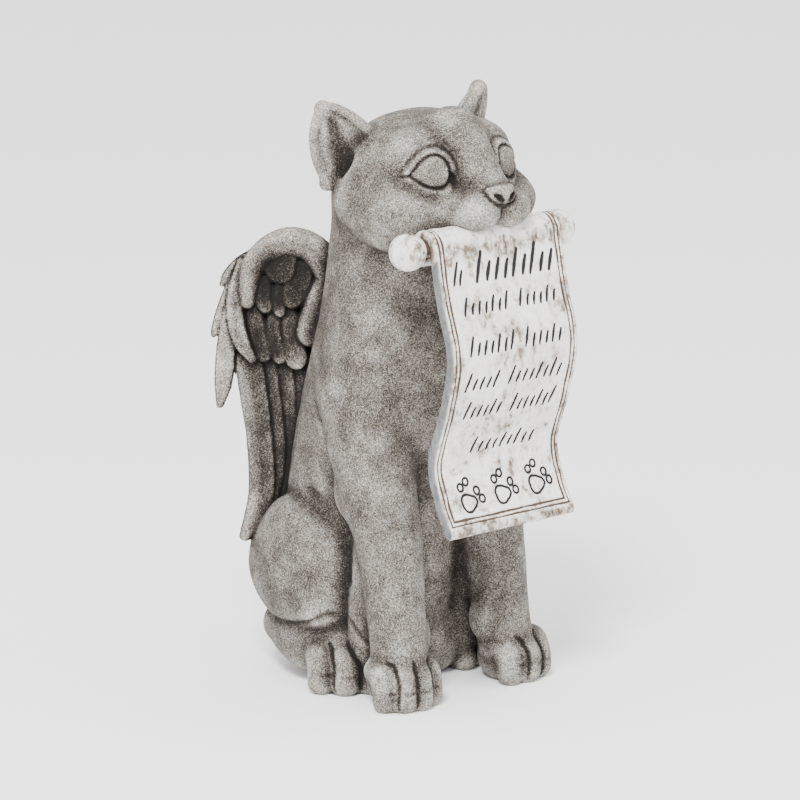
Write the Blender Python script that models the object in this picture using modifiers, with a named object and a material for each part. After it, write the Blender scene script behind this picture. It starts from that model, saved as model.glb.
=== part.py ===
"""A seated cat with folded angel wings, cast in grey resin stone, that holds a hanging scroll in its mouth.

The cat looks along -Y, +X is its left side, and the origin is on the ground in the middle of its footprint.
The cat is modelled as clay: a grid of distances that balls, limbs and feathers are blended into, and
that is meshed at the end. The scroll is a bent sheet over a rod with a ball at each end, and hangs from
the cat's mouth.
"""

import math

import bmesh
import bpy
import numpy as np
import openvdb
from mathutils import Euler, Matrix, Vector

# Sizes of the real statue, in metres
STATUE_HEIGHT = 0.346
SCROLL_WIDTH = 0.096
SCROLL_LENGTH = 0.159
SCROLL_THICKNESS = 0.006
SHEET_EDGE = 0.0016
ROD_RADIUS = 0.0045
KNOB_RADIUS = 0.0105
KNOB_STANDOFF = 0.0086
ROD_SHIFT = -0.0025
MOUTH_CLEARANCE = 0.0004

# Shallow carving on the sheet's front
CARVING_DEPTH = 0.0007
BORDER_MARGIN = 0.0055
BORDER_TOP = 0.003
BORDER_WIDTH = 0.0012
STROKE_WIDTH = 0.0017
STROKE_LEAN = 0.3
# Rows of strokes in the field inside the border, as shares of the field's length and half width:
# how far down the foot of the row is, its height, its left and its right end, and its number of strokes
STROKE_ROWS = ((0.122, 0.083, -0.85, 0.85, 8), (0.229, 0.056, -0.8, 0.87, 8), (0.36, 0.056, -0.8, 0.85, 8),
               (0.476, 0.056, -0.85, 0.85, 8), (0.58, 0.056, -0.78, 0.8, 7), (0.72, 0.054, -0.5, 0.61, 5))
# Paw prints: the middle of each pad, and its toes and sizes, as shares of the same field
PRINT_PADS = ((-0.635, 0.9), (-0.024, 0.895), (0.6, 0.886))
PRINT_TOES = ((-0.09, -0.0565), (0.019, -0.074), (0.176, -0.037), (0.24, -0.0065))
PAD_SIZE = (0.136, 0.03)
TOE_SIZE = (0.052, 0.015)

# The sheet hangs in a slow wave: share of its length, and how far forwards it swings there
SHEET_SWING = ((0, 0), (0.18, 0.006), (0.37, 0.0145), (0.56, 0.009), (0.76, -0.001), (0.9, 0.005),
               (1, 0.0135))
SHEET_STEPS = 3
ROLL_START = math.radians(-70)
ROLL_STEPS = 10

# How finely the clay is meshed
CLAY_VOXEL = 0.0013
CAT_TRIANGLES = 6700
FEATHER_STEPS = 5
LIMB_STEPS = 5

# The figure's pose and carving are shares of its height: 346 units from the ground to the ear tips
UNIT = STATUE_HEIGHT / 346
FAR = 1000.0
MARGIN = 12.0
MOUTH_HEIGHT = 269.3
MOUTH_FORWARD = 75.0
EYE_TURN = math.radians(25)
EYE_FRONT = (27.9, -60.8, 309.0)
# The opening between the lids, from the outer corner over the top, as places outwards and up from its middle
EYE_OPENING = ((13.2, -2.0), (7.1, 5.0), (0.3, 8.7), (-6.2, 7.6), (-9.4, 1.6), (-10.0, -2.8),
               (-6.0, -8.4), (1.8, -8.6), (13.2, -2.0))
# Toes of a paw, outermost first: place across the paw, reach ahead of the wrist, radius
RIGHT_TOES = ((14, 11, 7.4), (4.8, 16, 8.4), (-5.6, 16, 8.2), (-15, 11, 7.0))
LEFT_TOES = ((17.5, 12, 7.6), (6.5, 16.5, 8.6), (-5, 15, 8.4), (-15.5, 9, 7.2))
HIND_TOES = ((19, 8, 7.6), (7, 15, 9), (-8, 16, 9), (-20, 9, 7.6))


def smooth_path(stations, steps):
    """Catmull-Rom curve through the stations, each a tuple of coordinates and sizes."""
    knots = np.array(stations, float)
    if len(knots) < 3:
        return knots
    before = np.vstack([2 * knots[0] - knots[1], knots, 2 * knots[-1] - knots[-2]])
    path = []
    for i in range(len(knots) - 1):
        a, b, c, d = before[i:i + 4]
        for t in np.arange(steps) / steps:
            path.append(0.5 * (2 * b + (c - a) * t + (2 * a - 5 * b + 4 * c - d) * t ** 2
                               + (3 * b - a - 3 * c + d) * t ** 3))
    return np.array(path + [knots[-1]])


def merge(old, new, blend):
    """The nearer of two distances, rounded where they are within the blend of each other."""
    if not blend:
        return np.minimum(old, new)
    overlap = np.maximum(blend - np.abs(old - new), 0.0) / blend
    return np.minimum(old, new) - overlap ** 3 * blend / 6


class Clay:
    """An even grid of distances: below zero is clay. Sizes are in units."""

    def __init__(self, axes, field=None):
        self.axes = axes
        self.voxel = float(axes[0][1] - axes[0][0])
        self.field = np.full([len(axis) for axis in axes], FAR, np.float32) if field is None else field

    def mirrored(self):
        """The whole figure, from a half that starts on the symmetry plane."""
        across = self.axes[0]
        axes = [np.concatenate([-across[:0:-1], across]), self.axes[1], self.axes[2]]
        return Clay(axes, np.concatenate([self.field[:0:-1], self.field], axis=0))

    def window(self, low, high):
        """The part of the grid inside a box, as slices, and its coordinates, ready to broadcast."""
        parts = []
        for axis, a, b in zip(self.axes, low, high):
            first, last = np.searchsorted(axis, (a, b))
            parts.append(slice(int(first), int(last)))
        grid = np.meshgrid(*[axis[part] for axis, part in zip(self.axes, parts)], indexing="ij", sparse=True)
        return tuple(parts), grid

    def blend_in(self, parts, distance, blend, carve):
        """Adds a shape to the clay, or carves it away."""
        if carve:
            self.field[parts] = -merge(-self.field[parts], distance, blend)
        else:
            self.field[parts] = merge(self.field[parts], distance, blend)

    def ball(self, centre, radii, turn=(0, 0, 0), blend=6.0, carve=False):
        """An ellipsoid, turned by degrees about X, Y and Z."""
        reach = max(radii) + MARGIN
        parts, grid = self.window([c - reach for c in centre], [c + reach for c in centre])
        turned = Euler([math.radians(a) for a in turn]).to_matrix().transposed()
        offset = [axis - c for axis, c in zip(grid, centre)]
        near, far = 0.0, 0.0
        for row, radius in zip(turned, radii):
            along = row[0] * offset[0] + row[1] * offset[1] + row[2] * offset[2]
            near = near + (along / radius) ** 2
            far = far + (along / radius ** 2) ** 2
        near = np.sqrt(near)
        distance = near * (near - 1) / np.maximum(np.sqrt(far), 1e-6)
        self.blend_in(parts, distance.astype(np.float32), blend, carve)

    def limb(self, stations, blend=6.0, carve=False, steps=LIMB_STEPS):
        """A round limb through stations of x, y, z and radius."""
        path = smooth_path(stations, steps)
        span = path[:, 3].max() + MARGIN
        parts, _ = self.window(path[:, :3].min(axis=0) - span, path[:, :3].max(axis=0) + span)
        distance = np.full([p.stop - p.start for p in parts], FAR, np.float32)
        for a, b in zip(path, path[1:]):
            inner, grid = self.window(np.minimum(a, b)[:3] - span, np.maximum(a, b)[:3] + span)
            local = tuple(slice(i.start - p.start, i.stop - p.start) for i, p in zip(inner, parts))
            distance[local] = np.minimum(distance[local], cone_distance(grid, a, b))
        self.blend_in(parts, distance, blend, carve)


def cone_distance(grid, a, b):
    """Distance to a rod between two stations whose radius changes evenly."""
    along = b[:3] - a[:3]
    length2 = float(along @ along) + 1e-9
    offset = [axis - value for axis, value in zip(grid, a)]
    dot = offset[0] * along[0] + offset[1] * along[1] + offset[2] * along[2]
    t = np.clip(dot / length2, 0, 1)
    square = offset[0] ** 2 + offset[1] ** 2 + offset[2] ** 2 - t * (2 * dot - t * length2)
    return (np.sqrt(np.maximum(square, 0)) - a[3] - t * (b[3] - a[3])).astype(np.float32)


def body(clay):
    """Rump, belly, chest and neck, leaning forwards as they rise."""
    clay.limb([(0, 36, 42, 42), (0, 32, 74, 47), (0, 20, 118, 50), (0, 8, 165, 49.5),
               (0, -2, 205, 47.5), (0, -7, 240, 45.5), (0, -12, 275, 45.5)], blend=0)
    clay.ball((16, 42, 38), (32, 38, 38), blend=20)
    clay.ball((0, -20, 185), (42, 36, 62), turn=(-6, 0, 0), blend=24)
    clay.ball((34, -14, 195), (22, 28, 46), turn=(8, 0, 0), blend=18)
    clay.ball((0, -8, 78), (34, 24, 72), blend=16)
    clay.ball((24, 20, 60), (32, 34, 56), blend=14)
    clay.ball((14, -4, 24), (32, 24, 27), blend=10)
    clay.limb([(33, -20, 96, 13), (36, -21, 62, 15), (36, -18, 26, 14)], blend=8)


def upper_arm(clay):
    """Shoulder and upper arm, down to the elbow crease."""
    clay.limb([(36, -8, 175, 24), (38, -19, 145, 23.5), (39, -28, 118, 21.5), (39, -36, 92, 17)], blend=10)
    clay.ball((43, -16, 118), (13, 16, 18), turn=(-25, 0, 0), blend=8)
    clay.limb([(50, 8, 158, 2.5), (55, -1, 138, 3), (57, -4, 122, 2.5)], blend=5, carve=True)


def thigh(clay):
    """The folded thigh with the calf beneath it, parted from the belly by a deep crease."""
    clay.ball((43, 30, 70), (25, 36, 41), turn=(-20, 0, 0), blend=4)
    clay.ball((43, 46, 64), (20, 30, 32), turn=(-10, 0, 0), blend=8)
    clay.ball((43, 12, 60), (20, 19, 28), turn=(-12, 0, 0), blend=8)
    clay.limb([(36, 58, 44, 12), (46, 36, 42, 13), (52, 10, 46, 10)], blend=10)
    clay.limb([(50, 20, 114, 2.5), (51, 6, 107, 3), (51, -7, 90, 3), (49, -12, 68, 3)], blend=6, carve=True)


def head(clay):
    """Skull, cheeks, jowls, brow, muzzle and chin."""
    clay.ball((0, -21, 295), (54, 48, 42), blend=12)
    clay.ball((22, -42.5, 311), (22, 18, 20), turn=(-20, 0, 0), blend=12)
    clay.ball((36, -46, 285), (20, 22, 17), blend=12)
    clay.limb([(42, -16, 288, 12), (42, -34, 277, 12), (34, -50, 272, 10)], blend=14)
    clay.ball((0, -62, 288), (34, 22, 15), blend=12)
    clay.ball((11.5, -77.5, 286.5), (15, 14, 11), blend=6)
    clay.ball((0, -50, 262), (26, 20, 12), blend=12)
    clay.limb([(0, -46, 325, 14), (0, -60, 313, 12), (0, -78, 302, 8)], blend=12)


def nose(clay):
    """A small flat nose leather with two nostrils over the cleft lip."""
    clay.limb([(0, -88.5, 300.5, 3.0), (4, -87.8, 300.8, 2.8), (8.0, -85.6, 299.6, 2.0)], blend=1.5)
    clay.ball((0, -88.6, 296.2), (5.0, 3.6, 6), blend=1.5)
    clay.ball((6.2, -86.8, 296.4), (3.2, 3.0, 3.0), blend=1.2)
    clay.limb([(2.6, -92.4, 294.2, 1.4), (6.2, -89.8, 297.6, 1.2)], blend=1, carve=True)
    clay.limb([(0, -93, 291, 1.2), (0, -93.4, 284, 1.2), (0, -92.6, 279, 1.3)], blend=1.5, carve=True)


def eye(clay):
    """A large blank eyeball between raised lids, turned outwards, pressed into the face."""
    parts, (x, y, z) = clay.window([c - 26 for c in EYE_FRONT], [c + 26 for c in EYE_FRONT])
    wide = (x - EYE_FRONT[0]) * math.cos(EYE_TURN) + (y - EYE_FRONT[1]) * math.sin(EYE_TURN)
    wide, high = np.broadcast_arrays(wide, z - EYE_FRONT[2])
    gap, crossings = np.full(wide.shape, FAR), np.zeros(wide.shape, int)
    for (a, b), (c, d) in zip(EYE_OPENING, EYE_OPENING[1:]):
        t = np.clip(((wide - a) * (c - a) + (high - b) * (d - b)) / ((c - a) ** 2 + (d - b) ** 2), 0, 1)
        gap = np.minimum(gap, np.hypot(wide - a - t * (c - a), high - b - t * (d - b)))
        crossings += ((b > high) != (d > high)) & (wide < (c - a) * (high - b) / (d - b) + a)
    gap = np.where(crossings % 2 == 1, -gap, gap)
    eyeball = -3.0 + 4.4 * np.sqrt(np.clip(1 - (wide / 15.5) ** 2 - (high / 12.5) ** 2, 0, 1))
    lid = 1.6 * np.exp(-((gap - 1.5) / 1.8) ** 2) - 1.6 * np.exp(-((gap - 6.5) / 3.2) ** 2)
    relief = np.where(gap < 0, eyeball, lid) - 1.4 * np.exp(-(gap / 0.9) ** 2)
    clay.field[parts] -= relief.astype(np.float32)


def ear(clay):
    """A pointed cup that leans outwards, hollow on its front, with a thick rounded edge."""
    tip = np.array([59.0, -3.0, 341.0])
    inner, outer = np.array([33.0, -11.0, 322.0]), np.array([53.0, 1.0, 297.0])
    for share in np.arange(12) / 11:
        foot = inner + (outer - inner) * share
        clay.limb([(*foot, 5.4 - 1.6 * share), (*tip, 2.4)], blend=4)
    rim = ((33, -16, 325, 2.6), (45, -13, 336, 2.6), (56.5, -7.6, 342.2, 2.3), (62.4, -4, 338, 2.4),
           (64, -1, 327, 2.6), (60.5, 0, 311, 2.8), (53, -1, 297, 2.6))
    clay.limb(rim, blend=3)
    cup = ((57, -9.5, 334, 2.6), (54.5, -10.5, 324, 5), (51, -11, 314, 6.4), (49.5, -10, 306, 4.6))
    clay.limb(cup, blend=4, carve=True)


def paw(clay, wrist, heading, toes):
    """Rounded toes side by side. Each toe has its place across the paw, its reach ahead and its radius."""
    turn = math.radians(heading)
    side = math.copysign(1, wrist[0])
    ahead = np.array([side * math.sin(turn), -math.cos(turn)])
    across = np.array([math.cos(turn), side * math.sin(turn)])
    clay.ball((*wrist, 12), (18, 17, 14), blend=8)
    for place, reach, radius in toes:
        root, knuckle, bend, tip = (
            np.array(wrist) + across * side * place * spread + ahead * (reach - back)
            for spread, back in ((0.86, 14), (1.0, 5), (1.03, 2.2), (1.04, 0.5)))
        clay.limb([(*root, 22, radius - 1), (*knuckle, 19, radius + 0.2), (*bend, 12, radius - 0.5),
                   (*tip, radius - 0.5, radius)], blend=1.5)


def foreleg(clay, side, wrist, heading, toes):
    """From the elbow straight down to the paw."""
    clay.limb([(side * 39, -30, 118, 17), (side * 39, -36, 98, 18), (side * 39.5, -40, 77, 17.8),
               (side * 40, -44, 50, 16.6), (side * 40.5, -47, 30, 16.4),
               (side * wrist[0], -48, 16, 16)], blend=8)
    clay.ball((side * 26, -45, 38), (7, 9, 12), blend=8)
    paw(clay, (side * wrist[0], wrist[1]), heading, toes)


def hind_foot(clay, side, ball, heading):
    """The long foot flat on the ground, with the fold above it."""
    middle = (side * (37 + ball[0]) / 2 + side * 4, (60 + ball[1]) / 2)
    foot = ((side * 36, 59, 25, 13.5), (*middle, 23, 18.2), (side * ball[0], ball[1] + 3, 22, 17.5))
    clay.limb(foot, blend=4)
    paw(clay, (side * ball[0], ball[1]), heading, HIND_TOES)
    fold = ((56, 48, 33), (60, 20, 37), (61, -4, 44), (55, -18, 42), (46, -28, 33))
    clay.limb([(side * x, y, z, 1.6) for x, y, z in fold], blend=4, carve=True)


class Wing:
    """The wing's two faces, as heights out of its middle over a flat chart of along the spread and up."""

    ROOT = (22.0, 32.0)
    HEADING = math.radians(136.2)
    CURL = 0.0055
    CELL = 0.6

    def __init__(self):
        spread, height = np.arange(-8, 80, self.CELL), np.arange(60, 276, self.CELL)
        self.along, self.up = np.meshgrid(spread, height, indexing="ij")
        self.front = np.full(self.along.shape, -60.0)
        self.back = self.front.copy()

    def feather(self, stations, lift, rise=1.5, tilt=-0.06, thick=3.0, soft=2.0, rear=False):
        """A rounded leaf through stations of along, up and half width.

        It rises towards its tip, tilts across the spread and has a faint groove down its middle.
        """
        path = smooth_path(stations, FEATHER_STEPS)
        outline = np.full(self.along.shape, FAR)
        share = np.zeros(self.along.shape)
        for i, (a, b) in enumerate(zip(path, path[1:])):
            run = b[:2] - a[:2]
            right, above = self.along - a[0], self.up - a[1]
            t = np.clip((right * run[0] + above * run[1]) / max(run @ run, 1e-6), 0, 1)
            gap = np.hypot(right - t * run[0], above - t * run[1]) - a[2] - t * (b[2] - a[2])
            closer = gap < outline
            outline[closer] = gap[closer]
            share[closer] = ((i + t) / (len(path) - 1))[closer]
        edge = np.sqrt(np.maximum(0, 1 - np.clip(1 + outline / soft, 0, 1) ** 2))
        middle = np.clip(-outline / path[:, 2].max() * 5 - 4, 0, 1)
        level = lift + rise * share + tilt * (self.along - path[len(path) // 2, 0])
        height = level - thick * (1 - edge) - 0.35 * middle - 5 * np.maximum(outline, 0)
        face = self.back if rear else self.front
        if not rear:
            under = 4.6 - level - 1.6 * (1 - edge) - 5 * np.maximum(outline, 0)
            np.maximum(self.back, under, out=self.back)
        np.maximum(face, height, out=face)

    def read(self, chart, along, up):
        """The chart's value at each place, read between its points."""
        a = np.clip((along - self.along[0, 0]) / self.CELL, 0, chart.shape[0] - 1.001)
        b = np.clip((up - self.up[0, 0]) / self.CELL, 0, chart.shape[1] - 1.001)
        i, j = a.astype(int), b.astype(int)
        t, u = a - i, b - j
        return ((chart[i, j] * (1 - t) + chart[i + 1, j] * t) * (1 - u)
                + (chart[i, j + 1] * (1 - t) + chart[i + 1, j + 1] * t) * u).astype(np.float32)

    def attach(self, clay):
        parts, (x, y, z) = clay.window((10, 10, 66), (92, 110, 276))
        sine, cosine = math.sin(self.HEADING), math.cos(self.HEADING)
        outwards, across = (sine, -cosine), (-cosine, -sine)
        along = (x - self.ROOT[0]) * outwards[0] + (y - self.ROOT[1]) * outwards[1]
        out = (x - self.ROOT[0]) * across[0] + (y - self.ROOT[1]) * across[1]
        out = out - self.CURL * (along - 26) ** 2 * np.sign(along - 26)
        front = out - self.read(self.front, along, z)
        back = -out - self.read(self.back, along, z)
        clay.blend_in(parts, np.maximum(front, back) * 0.8, 1.5, carve=False)


def wing(clay):
    """A cupped wing: an arched edge, short feathers inside it, and long ones that hang to the haunch."""
    shape = Wing()
    for row, (top, length) in enumerate(((196, 96), (228, 50), (256, 46))):
        for place in np.arange(4, 58 - 5 * (2 - row), 9.2):
            sag = 0.011 * (place - 22) ** 2
            droop = 30 if row == 0 and place > 30 else 0
            stations = [(place, top - sag, 6), (place + 1, top - sag - length / 2, 6.6),
                        (place + 0.5, top - sag - length - droop, 3.6)]
            shape.feather(stations, 5.5 + 1.3 * row, rise=2.4, tilt=0.07, rear=True)
    # The front, from the farthest feathers to the nearest
    for stations, lift, rise, tilt in (
        ([(18, 236, 22), (26, 205, 25), (28, 170, 20), (34, 130, 12), (42, 100, 7)], -5, 0, 0),
        ([(20, 180, 9), (21, 160, 8), (24, 138, 4)], -3.6, 1, -0.08),
        ([(31, 195, 7), (29, 160, 7.5), (28, 130, 7), (31, 104, 5)], -3.2, 1.2, -0.08),
        ([(41, 195, 7), (37, 160, 7), (34, 128, 6.5), (38, 96, 5)], -2.4, 1.6, -0.1),
        ([(52, 205, 8), (47, 170, 8.5), (43, 138, 8), (42, 108, 8), (46, 92, 6.5), (52, 80, 3.5)],
         -1.2, 2.0, -0.1),
        ([(46, 254, 3), (53, 247, 3.6), (60.5, 235, 2.8)], 0, 1.0, -0.1),
        ([(50, 250, 3), (58, 235, 4), (64, 218, 4), (67.2, 205, 2.6)], 0.6, 1.0, -0.1),
        ([(58, 232, 3), (63, 212, 4.4), (63, 190, 5.6), (63, 173, 5.2), (64.6, 162, 3)], 1.2, 1.4, -0.1),
        ([(52, 244, 3), (56, 226, 4.6), (55.5, 209, 5.2), (52, 196, 4.8), (46.6, 187, 3)], 3.0, 1.6, -0.1),
        ([(43, 214, 4), (42, 202, 4.8), (38, 190, 4.6)], 0.2, 1.4, -0.15),
        ([(34, 214, 4), (34.5, 202, 5), (31, 187.5, 4.8)], 0.8, 1.4, -0.12),
        ([(25, 212, 5), (23.5, 200, 6.4), (21, 186.5, 7.0)], 1.6, 1.6, -0.1),
        ([(39, 232, 4), (40, 222, 5.2), (38.6, 217.6, 4.8)], 2.6, 1.0, -0.1),
        ([(31.5, 228, 3.4), (31, 219, 4.2), (30.5, 214.6, 4.0)], 3.0, 1.0, 0.0),
        ([(18, 238, 7), (20.5, 228, 8.4), (23, 222.4, 6.4)], 3.0, 1.4, 0.05),
        ([(29, 250, 10), (30, 240, 9.4)], 3.4, 1.4, 0.0),
    ):
        shape.feather(stations, lift, rise, tilt)
    # The arch, whose two ends hang free as rounded lobes
    for stations, lift, soft in (
        ([(-2, 238, 8), (4, 226, 9.5), (9, 212, 10), (12, 202.5, 9.6)], 6.6, 5),
        ([(48.8, 220.5, 4.4), (48.2, 230, 5.8), (45.5, 241, 7.2), (36.5, 251, 8.2), (24, 255.8, 8.6),
          (11, 251, 9), (2, 238, 9), (1, 224, 8)], 7.4, 8),
    ):
        shape.feather(stations, lift, 0, 0, thick=6.5, soft=soft)
        shape.feather([(a, u, w * 0.96) for a, u, w in stations], 4.5, 0, 0, thick=6, soft=6, rear=True)
    shape.attach(clay)


def tail(clay):
    """Lies on the ground round the cat's left haunch."""
    line = ((0, 84, 12, 13), (36, 82, 11, 12), (62, 66, 11, 12), (76, 42, 10, 11), (78, 20, 9, 9))
    clay.limb(line, blend=4)


def figure():
    """The whole cat: one half is modelled and mirrored, then the legs and the tail are added."""
    voxel = CLAY_VOXEL / UNIT
    low, high = (0, -110, -3 * voxel), (100, 124, 356)
    half = Clay([np.arange(a, b + voxel, voxel, dtype=np.float32) for a, b in zip(low, high)])
    body(half)
    wing(half)
    upper_arm(half)
    thigh(half)
    head(half)
    nose(half)
    eye(half)
    ear(half)
    whole = half.mirrored()
    hind_foot(whole, -1, (40, -3), 24)
    hind_foot(whole, 1, (47, -2), 34)
    foreleg(whole, -1, (41, -47), 12, RIGHT_TOES)
    foreleg(whole, 1, (44.5, -47), 24, LEFT_TOES)
    tail(whole)
    whole.field = np.maximum(whole.field, -1.5 * voxel - whole.axes[2][None, None, :])
    return whole


def largest_shell(obj):
    """Keeps only the outer skin, without any pocket closed in between the lumps of clay."""
    bpy.context.view_layer.objects.active = obj
    obj.select_set(True)
    bpy.ops.mesh.separate(type="LOOSE")
    shells = sorted(bpy.context.selected_objects, key=lambda shell: len(shell.data.vertices))
    for pocket in shells[:-1]:
        bpy.data.objects.remove(pocket)
    return shells[-1]


def surface_of(clay, name):
    """The clay's surface as a mesh in metres."""
    grid = openvdb.FloatGrid(FAR)
    grid.copyFromArray(clay.field)
    points, quads = grid.convertToQuads(0.0)
    low = np.array([axis[0] for axis in clay.axes])
    points = (points * clay.voxel + low) * UNIT
    mesh = bpy.data.meshes.new(name)
    mesh.from_pydata(points.tolist(), [], quads[:, ::-1].tolist())
    obj = bpy.data.objects.new(name, mesh)
    bpy.context.scene.collection.objects.link(obj)
    return largest_shell(obj)


def box_cutter(name, low, high):
    bpy.ops.mesh.primitive_cube_add(size=1, location=[(a + b) / 2 for a, b in zip(low, high)],
                                    scale=[b - a for a, b in zip(low, high)])
    bpy.ops.object.transform_apply(location=False, rotation=False, scale=True)
    cutter = bpy.context.object
    cutter.name = cutter.data.name = name
    return cutter


def rod_cutter(name, radius, length, centre, sides):
    bpy.ops.mesh.primitive_cylinder_add(vertices=sides, radius=radius, depth=length, location=centre,
                                        rotation=(0, math.pi / 2, 0))
    cutter = bpy.context.object
    cutter.name = cutter.data.name = name
    return cutter


def boolean(obj, tool, operation):
    """Joins another object to this one, or cuts it away."""
    step = obj.modifiers.new(tool.name, "BOOLEAN")
    step.operation = operation
    step.object = tool
    step.solver = "EXACT"


def cat():
    """The cast figure, flat underneath, with a groove across its mouth where the scroll sits."""
    statue = surface_of(figure(), "cat")
    reduce = statue.modifiers.new("reduce", "DECIMATE")
    reduce.ratio = CAT_TRIANGLES / (2 * len(statue.data.polygons))
    reduce.use_collapse_triangulate = True
    span = STATUE_HEIGHT
    ground = box_cutter("ground", (-span, -span, -span / 4), (span, span, 0))
    reach = ROD_RADIUS + SCROLL_THICKNESS + MOUTH_CLEARANCE
    groove = rod_cutter("mouth groove", reach, SCROLL_WIDTH + 2 * MOUTH_CLEARANCE, mouth_centre(), 32)
    for tool in (ground, groove):
        boolean(statue, tool, "DIFFERENCE")
    statue.data.shade_smooth()
    return statue, [ground, groove]


def mouth_centre():
    return Vector((0, -MOUTH_FORWARD * UNIT, MOUTH_HEIGHT * UNIT))


def sheet_profile():
    """The sheet's middle line as (y, z): behind the rod, over its top, and down the front in a wave."""
    radius = ROD_RADIUS + SCROLL_THICKNESS / 2
    _, y, z = mouth_centre()
    line = []
    for angle in np.linspace(ROLL_START, math.pi, ROLL_STEPS):
        line.append((y + radius * math.cos(angle), z + radius * math.sin(angle)))
    for share, swing in smooth_path(SHEET_SWING, SHEET_STEPS)[1:]:
        line.append((y - radius - swing, z - SCROLL_LENGTH * share))
    return np.array(line)


class SheetFace:
    """Places on the sheet's front: u across it, v down it from the mouth's middle, w out of its face."""

    def __init__(self):
        self.line = sheet_profile()
        step = np.hypot(*np.diff(self.line, axis=0).T)
        self.down = np.concatenate([[0], np.cumsum(step)])
        self.down -= self.down[ROLL_STEPS - 1]

    def place(self, u, v, w):
        y, z = (np.interp(v, self.down, column) for column in self.line.T)
        ahead, behind = (np.array([np.interp(v + d, self.down, column) for column in self.line.T])
                         for d in (0.002, -0.002))
        slope = (ahead - behind) / np.hypot(*(ahead - behind))
        w += SCROLL_THICKNESS / 2
        return (u, y + slope[1] * w, z - slope[0] * w)

    def groove(self, mesh, path, width):
        """A shallow square channel along a path of (u, v), added to the cutter's mesh."""
        path = np.array(path, float)
        lean = np.gradient(path, axis=0)
        lean /= np.hypot(*lean.T)[:, None]
        rings = []
        for (u, v), (du, dv) in zip(path, lean):
            ring = []
            deep = CARVING_DEPTH
            for side, w in ((-1, deep), (1, deep), (1, -deep), (-1, -deep)):
                offset = side * width / 2
                ring.append(mesh.verts.new(self.place(u - dv * offset, v + du * offset, w)))
            rings.append(ring)
        for a, b in zip(rings, rings[1:]):
            for i in range(4):
                mesh.faces.new((a[i], a[i - 1], b[i - 1], b[i]))
        mesh.faces.new(rings[0])
        mesh.faces.new(rings[-1][::-1])

    def pit(self, mesh, centre, size, sides):
        """A shallow rounded hollow, added to the cutter's mesh."""
        rings = []
        for w in (CARVING_DEPTH, -CARVING_DEPTH):
            ring = []
            for angle in np.arange(sides) * 2 * math.pi / sides:
                ring.append(mesh.verts.new(self.place(centre[0] + size[0] * math.cos(angle),
                                                      centre[1] + size[1] * math.sin(angle), w)))
            rings.append(ring)
        top, bottom = rings
        for i in range(sides):
            mesh.faces.new((top[i - 1], top[i], bottom[i], bottom[i - 1]))
        mesh.faces.new(top[::-1])
        mesh.faces.new(bottom)


def carving():
    """One cutter for the sheet's front: a border line, rows of slanted strokes, and three paw prints."""
    face = SheetFace()
    mesh = bmesh.new()
    side = SCROLL_WIDTH / 2 - BORDER_MARGIN
    bottom = face.down[-1] - BORDER_MARGIN
    rows = face.down[(face.down > BORDER_TOP) & (face.down < bottom - BORDER_MARGIN)]
    falling = [*rows, bottom - BORDER_WIDTH]
    turn = side - BORDER_WIDTH
    border = [(-side, v) for v in falling]
    border += [(-side, bottom), (-turn, bottom), (turn, bottom), (side, bottom)]
    border += [(side, v) for v in falling[::-1]]
    face.groove(mesh, border, BORDER_WIDTH)
    for foot, height, left, right, count in STROKE_ROWS:
        for i, u in enumerate(np.linspace(left * side, right * side, count)):
            tall = height * bottom * (1 if i % 3 == 0 else 0.62)
            stroke = [(u, foot * bottom), (u + tall * STROKE_LEAN, foot * bottom - tall)]
            face.groove(mesh, stroke, STROKE_WIDTH)
    for across, along in PRINT_PADS:
        face.pit(mesh, (across * side, along * bottom), (PAD_SIZE[0] * side, PAD_SIZE[1] * bottom), 7)
        for toe in PRINT_TOES:
            face.pit(mesh, ((across + toe[0]) * side, (along + toe[1]) * bottom),
                     (TOE_SIZE[0] * side, TOE_SIZE[1] * bottom), 6)
    bmesh.ops.recalc_face_normals(mesh, faces=mesh.faces)
    data = bpy.data.meshes.new("sheet carving")
    mesh.to_mesh(data)
    mesh.free()
    cutter = bpy.data.objects.new("sheet carving", data)
    bpy.context.scene.collection.objects.link(cutter)
    return cutter


def sheet():
    """The bent sheet: a flat grid laid along the profile, thickened, with its edges rounded."""
    line = sheet_profile()
    bpy.ops.mesh.primitive_grid_add(x_subdivisions=1, y_subdivisions=len(line) - 1, size=2)
    obj = bpy.context.object
    for vertex in obj.data.vertices:
        row = round((1 - vertex.co.y) / 2 * (len(line) - 1))
        vertex.co = (vertex.co.x * SCROLL_WIDTH / 2, *line[row])
    solid = obj.modifiers.new("thickness", "SOLIDIFY")
    solid.thickness = SCROLL_THICKNESS
    solid.offset = 0
    bevel = obj.modifiers.new("worn edge", "BEVEL")
    bevel.width = SHEET_EDGE
    bevel.segments = 1
    bevel.limit_method = "ANGLE"
    bevel.angle_limit = math.radians(50)
    return obj


def scroll():
    """The sheet over its rod, with a ball on each end of the rod, all cast as one."""
    obj = sheet()
    obj.name = obj.data.name = "scroll"
    centre = mouth_centre() + Vector((ROD_SHIFT, 0, 0))
    knob_at = SCROLL_WIDTH / 2 + KNOB_STANDOFF
    tools = [rod_cutter("rod", ROD_RADIUS * 1.04, 2 * knob_at, centre, 16)]
    for side, name in ((-1, "right knob"), (1, "left knob")):
        bpy.ops.mesh.primitive_uv_sphere_add(segments=18, ring_count=10, radius=KNOB_RADIUS,
                                             location=centre + Vector((side * knob_at, 0, 0)),
                                             rotation=(0, math.pi / 2, 0))
        knob = bpy.context.object
        knob.name = knob.data.name = name
        tools.append(knob)
    for tool in tools:
        tool.data.shade_smooth()
        boolean(obj, tool, "UNION")
    cutter = carving()
    boolean(obj, cutter, "DIFFERENCE")
    return obj, [*tools, cutter]


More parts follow.
